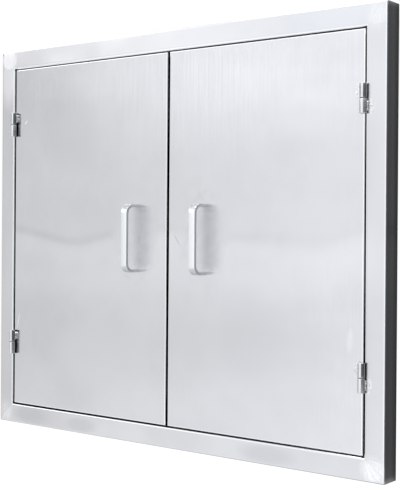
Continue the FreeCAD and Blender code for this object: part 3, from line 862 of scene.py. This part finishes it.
def placed(shells, sign, middle, level, facing):
    """The shells moved to a door: mirrored by sign, with depth counted from level along facing.

    The meeting edge is trimmed back a little in its upper half, as on a pan not quite square.
    """
    moved = []
    for points, faces in shells:
        meeting = np.clip(-points[:, 0] / door_half_width, 0, 1)
        upper = np.clip((points[:, 2] - trim_from) / trim_run, 0, 1)
        x = sign * (points[:, 0] + edge_trim * meeting ** 8 * upper + middle)
        y = level + facing * points[:, 1]
        moved.append((np.stack([x, y, points[:, 2]], axis=1), faces))
    return moved


for side, sign in both_sides:
    body = side + "_door"
    depth = skin_high.y - skin_low.y
    shells = pan_shells(door_half_width, door_half_height, skin_bend, depth, face_wave, face_waves[side])
    shells = placed(shells, sign, door_middle, skin_low.y, 1)
    piece(body + "_skin", body, door_steel, shells)
    half = (liner_high.x - liner_low.x) / 2
    shells = pan_shells(half, liner_high.z, liner_bend, liner_high.y - liner_low.y, liner_wave)
    shells = placed(shells, sign, door_middle, liner_high.y, -1)
    piece(body + "_liner", body, mill_steel, shells)
    dress(mill_steel, body + "_stiffener")

# Pull handles. Flat stainless strip, polished on its faces and left as drawn on its edges, is
# bent to a C. A tenon on each leg goes through the skin and is welded inside.
strip_thickness = 0.0047
strip_half_width = (handle_high.x - handle_low.x) / 2
strip_rounding = 0.0005
handle_bend = 0.014
tenon_half_width = strip_half_width - 0.0016
leg_sink = 0.0002
foot_reach = 0.004
edge_fade = 0.006


def strip_section():
    """Width and thickness of the strip's outline: a rectangle with small round corners."""
    width, depth = strip_half_width - strip_rounding, strip_thickness / 2 - strip_rounding
    corners = ((0, 1, 1), (90, -1, 1), (180, -1, -1), (270, 1, -1))
    return np.vstack([
        arc(first, first + 90, strip_rounding, (x * width, y * depth)) for first, x, y in corners
    ])


def handle_path():
    """Depth, height and outward direction along the strip's middle, from one tenon to the other."""
    radius = handle_bend - strip_thickness / 2
    leg_z = handle_high.z - strip_thickness / 2
    bend_y = handle_low.y + handle_bend
    foot_y = door_face_y + leg_sink
    seat = np.array([handle_high.y, door_face_y, foot_y, foot_y, door_face_y - foot_reach, bend_y])
    level = np.ones(len(seat))
    low_leg = np.stack([seat, -leg_z * level, 0 * level, -level], axis=1)
    angle = np.radians(np.linspace(0, 90, 15))[1:]
    sine, cosine = np.sin(angle), np.cos(angle)
    low_bend = np.stack([bend_y - radius * sine, radius * (1 - cosine) - leg_z, -sine, -cosine], axis=1)
    half = np.vstack([low_leg, low_bend])
    other = half[::-1] * np.array([1, -1, 1, -1])
    return np.vstack([half, other])


def polished_strip(tree, place):
    """Polished faces, nearly white in soft light; a shade darker where they face up or down, on the
    bends and legs; drawn edges, painted lighter towards the door as the door's bright face mirrored in
    them.
    """
    scratch = belt_scratches(tree, place, (0, 0, 1), 0.0006, 0.03)
    normal = add(tree, "NewGeometry").outputs["Normal"]
    local = add(tree, "VectorTransform", {0: normal}, convert_from="WORLD", convert_to="OBJECT")
    folded = add(tree, "VectorMath", {0: local}, operation="ABSOLUTE")
    sideways, _, upwards = add(tree, "SeparateXYZ", {0: folded}).outputs
    drawn = add(tree, "MapRange", {"Value": sideways, "From Min": 0.6, "From Max": 0.9}, **soft)
    face = add(tree, "Mix", {"Factor": scratch, "A": "#EBEEF1", "B": "#F4F7FA"}, **in_colour)
    face = laid_over(tree, face, "#DBDEE1", upwards, 0.05, 0.45)
    polish = add(tree, "MapRange", {"Value": scratch, **noise_range, "To Min": 0.24, "To Max": 0.3})
    depth = add(tree, "SeparateXYZ", {0: place}).outputs[1]
    # Painted reflection: the drawn edges get lighter towards the door, standing for the door's light
    # mirrored in them.
    ends = {"From Min": handle_low.y + edge_fade, "From Max": door_face_y - foot_reach}
    door_light_share = add(tree, "MapRange", {"Value": depth, **ends})
    edge = add(tree, "Mix", {"Factor": door_light_share, "A": "#E0E1E4", "B": "#FCFDFE"}, **in_colour)
    return {
        "Base Color": add(tree, "Mix", {"Factor": drawn, "A": face, "B": edge}, **in_colour),
        "Roughness": add(tree, "Mix", {"Factor": drawn, "A": polish, "B": 0.55}),
    }


handle_steel = finished("stainless strip, polished faces", metal, polished_strip)


def handle_shell(sign):
    """The strip's section carried along the path; both tenon tips close on their middle."""
    section = strip_section()
    path = handle_path()
    width = np.ones(len(path))
    width[[0, 1, 2, -3, -2, -1]] = tenon_half_width / strip_half_width
    x = handle_middle + width[:, None] * section[:, 0]
    y = path[:, :1] + path[:, 2:3] * section[:, 1]
    z = path[:, 1:2] + path[:, 3:] * section[:, 1]
    grid = np.stack([sign * x, y, z], axis=-1)
    tips = [np.broadcast_to(grid[end].mean(axis=0), grid[end].shape)[None] for end in (0, -1)]
    return quads(np.vstack([tips[0], grid, tips[1]]).transpose(1, 0, 2), wrap=True)


for side, sign in both_sides:
    body = side + "_door"
    piece(body + "_handle", body, handle_steel, [handle_shell(sign)])
    dress(weld_steel, side + "_handle_welds")
    for level in ("upper", "lower"):
        knuckle(f"{side}_{level}_door_knuckle", body, sign, False, door_barrel)
    weld_beads(body + "_hinge_welds", body, (sign,), "door")

# Floor. A plain pale floor, some way below the part as under an island. What the camera sees of
# it is lifted to white; the steel mirrors the studio below, which has its own pale floor.
floor_height = -0.6
floor_half = 30.0
floor_mesh = bpy.data.meshes.new("floor")
floor_corners = np.array([(-1, -1, 0), (1, -1, 0), (1, 1, 0), (-1, 1, 0)]) * floor_half
floor_corners[:, 2] = floor_height
floor_mesh.from_pydata(floor_corners.tolist(), [], [(0, 1, 2, 3)])
floor = new_object("floor", floor_mesh)
floor.visible_glossy = False
white_floor = bpy.data.materials.new("white studio floor")
white_floor.use_nodes = True
tree = white_floor.node_tree
tree.nodes.clear()
seen = add(tree, "LightPath").outputs["Is Camera Ray"]
paint = add(tree, "BsdfDiffuse", {"Color": "#E2E2E2"})
glow = add(tree, "Emission", {"Strength": 0.3})
lifted = add(tree, "AddShader", {0: paint, 1: glow})
shown = add(tree, "MixShader", {0: seen, 1: paint, 2: lifted})
add(tree, "OutputMaterial", {"Surface": shown})
floor_mesh.materials.append(white_floor)

# Studio. A white backdrop all round. For the steel to mirror, it has tones of grey: brightest
# ahead of the doors, falling off to both sides, with black flags behind the right end, a thin
# dark line where wall meets floor, a soft window, and uneven light on the walls.
world = bpy.data.worlds.new("studio")
bpy.context.scene.world = world
world.use_nodes = True
tree = world.node_tree
tree.nodes.clear()
direction = add(tree, "TexCoord").outputs["Generated"]
faced = add(tree, "VectorMath", {0: direction, 1: (-1.0, -1.0, 1.0)}, operation="MULTIPLY")
leftwards, ahead, upwards = add(tree, "SeparateXYZ", {0: faced}).outputs
heading = add(tree, "Math", {0: leftwards, 1: ahead}, operation="ARCTAN2")
rise = add(tree, "Math", {0: upwards}, operation="ARCSINE")
heading, rise = (add(tree, "Math", {0: angle}, operation="DEGREES") for angle in (heading, rise))
tones = {}
for name, angle, far, stops in (
    ("round", heading, 180, [
        (-180, 0.5), (-172, 0.35), (-163, 0.1), (-125, 0.06), (-105, 0.06), (-80, 0.15), (-40, 0.17),
        (-30, 0.25), (-20, 0.9), (-8, 1.3), (4, 1.46), (16, 1.44), (28, 1.11), (33, 1.05), (38, 1.02),
        (42, 0.97), (47, 0.855), (60, 0.76), (80, 0.74), (100, 0.65), (120, 0.35), (150, 0.35),
        (180, 0.5),
    ]),
    ("up", rise, 16, [
        (-16, 1.0), (-10, 1.02), (-6.5, 0.955), (-4, 0.965), (-2.3, 1.03), (-0.6, 1.045), (-0.1, 0.97),
        (3, 0.97), (4.7, 0.965), (6.4, 1.0), (9, 1.02), (16, 1.16),
    ]),
    ("far up", rise, 90, [(-90, 0.8), (-20, 0.9), (20, 1.05), (90, 1.05)]),
):
    share = add(tree, "MapRange", {"Value": angle, "From Min": -far, "From Max": far})
    tones[name] = add(tree, "ValToRGB", {0: share})
    tones[name].color_ramp.interpolation = "EASE"
    marks = tones[name].color_ramp.elements
    marks[0].color = (*[stops[0][1]] * 3, 1.0)
    marks[1].color = (*[stops[-1][1]] * 3, 1.0)
    for at, level in stops[1:-1]:
        marks.new((at / far + 1) / 2).color = (level, level, level, 1.0)
walls = add(tree, "Math", {0: tones["round"], 1: tones["up"]}, operation="MULTIPLY")
patches = add(tree, "VectorMath", {0: direction, 1: (4.0, 4.0, 38.0)}, operation="MULTIPLY")
patches = add(tree, "TexNoise", {"Vector": patches, "Scale": 1.0, "Detail": 3.0})
patches = add(tree, "MapRange", {"Value": patches, **noise_range, "To Min": 0.96, "To Max": 1.04})
walls = add(tree, "Math", {0: walls, 1: patches}, operation="MULTIPLY")
skirting_height = -0.15
off_line = distance_from(tree, rise, skirting_height)
skirting = add(tree, "MapRange", {"Value": off_line, "From Min": 0.25, "From Max": 0.05}, **soft)
depth_of_line, leaning, daylight = (
    add(tree, "MapRange", {"Value": heading, "From Min": first, "From Max": last, **levels})
    for first, last, levels in (
        (28.0, 44.0, {"To Min": 0.05, "To Max": 0.15}),
        (39.5, 50.0, {"To Min": 1.13, "To Max": 3.1}),
        (33.0, 41.0, {"To Min": 1.0, "To Max": 0.0}),
    )
)
skirting = add(tree, "Math", {0: skirting, 1: depth_of_line}, operation="MULTIPLY")
walls = add(tree, "Math", {0: walls, 1: skirting}, operation="SUBTRACT")
window = 1.0
for angle, first, last, before, after in (
    (heading, 39.0, 47.0, 0.38, -0.23), (heading, 29.0, 37.5, 0.0, 1.0),
    (rise, 2.0, 9.0, 0.0, 1.0), (rise, 9.5, 13.0, 1.0, 0.0),
):
    span = {"Value": angle, "From Min": first, "From Max": last, "To Min": before, "To Max": after}
    share = add(tree, "MapRange", span, **soft)
    window = add(tree, "Math", {0: window, 1: share}, operation="MULTIPLY")
walls = add(tree, "Math", {0: walls, 1: window}, operation="ADD")
above = add(tree, "Math", {0: rise, 1: 0.0}, operation="GREATER_THAN")
leaning = add(tree, "Mix", {"Factor": above, "A": 1.17, "B": leaning})
overhead = add(tree, "Math", {0: tones["far up"], 1: leaning}, operation="MULTIPLY")
steepness = add(tree, "Math", {0: rise}, operation="ABSOLUTE")
steep, steepest = (
    add(tree, "MapRange", {"Value": steepness, "From Min": first, "From Max": last}, **soft)
    for first, last in ((12.0, 24.0), (27.0, 40.0))
)
overhead = add(tree, "Mix", {"Factor": steepest, "A": overhead, "B": 0.8})
mirrored = add(tree, "Mix", {"Factor": steep, "A": walls, "B": overhead})
from_above = add(tree, "Math", {0: steep, 1: above}, operation="MULTIPLY")
from_above = add(tree, "Math", {0: from_above, 1: 0.8, 2: 0.2}, operation="MULTIPLY_ADD")
daylight = add(tree, "Math", {0: daylight, 1: from_above}, operation="MULTIPLY")
daylight = {"Factor": daylight, "A": "#FFFFFF", "B": (0.95, 1.0, 1.05, 1)}
daylight = add(tree, "Mix", daylight, **in_colour)
mirrored = add(tree, "VectorMath", {0: mirrored, 1: daylight}, operation="MULTIPLY")
paths = add(tree, "LightPath")
backdrop = {"Factor": paths.outputs["Is Glossy Ray"], "A": "#FFFFFF", "B": mirrored}
backdrop = add(tree, "Mix", backdrop, **in_colour)
seen = paths.outputs["Is Camera Ray"]
for kind in ("Is Glossy Ray", "Is Transmission Ray"):
    seen = add(tree, "Math", {0: seen, 1: paths.outputs[kind]}, operation="MAXIMUM")
even_light = add(tree, "Background", {"Color": "#FFFFFF", "Strength": 0.9})
shown = add(tree, "Background", {"Color": backdrop, "Strength": 1.0})
sky = add(tree, "MixShader", {0: seen, 1: even_light, 2: shown})
add(tree, "OutputWorld", {"Surface": sky})

# Lamp. One soft box two metres up, a little in front of the part and leaning towards it, gives
# the floor its shadow.
lamp_data = bpy.data.lights.new("overhead", "AREA")
lamp_data.shape = "RECTANGLE"
lamp_data.size, lamp_data.size_y = 2.0, 1.2
lamp_data.energy = 30
lamp = new_object("overhead", lamp_data)
lamp.location = (0.0, -0.9, 2.0)
lamp.rotation_euler = (math.radians(-20), 0, 0)

# Camera at the photograph's place, 1.6 m away at handle height and turned 37 degrees to the left,
# with its lens and its picture's shift in the photograph's pixels.
picture_height = 485
focal_pixels = 1056.58
optical_centre = (6.55, 14.96)
camera_place = (0.9780, -1.2218, 0.0185)
camera_turns = ((37.25, "Z"), (89.94, "X"), (0.405, "Z"))
camera_data = bpy.data.cameras.new("camera")
camera_data.sensor_width = 36.0
camera_data.lens = focal_pixels / picture_height * camera_data.sensor_width
camera_data.shift_x = -optical_centre[0] / picture_height
camera_data.shift_y = -optical_centre[1] / picture_height
camera = new_object("camera", camera_data)
aim = Matrix.Translation(camera_place)
for degrees, axis in camera_turns:
    aim = aim @ Matrix.Rotation(math.radians(degrees), 4, axis)
camera.matrix_world = aim
bpy.context.scene.camera = camera
bpy.context.scene.view_settings.view_transform = "Standard"
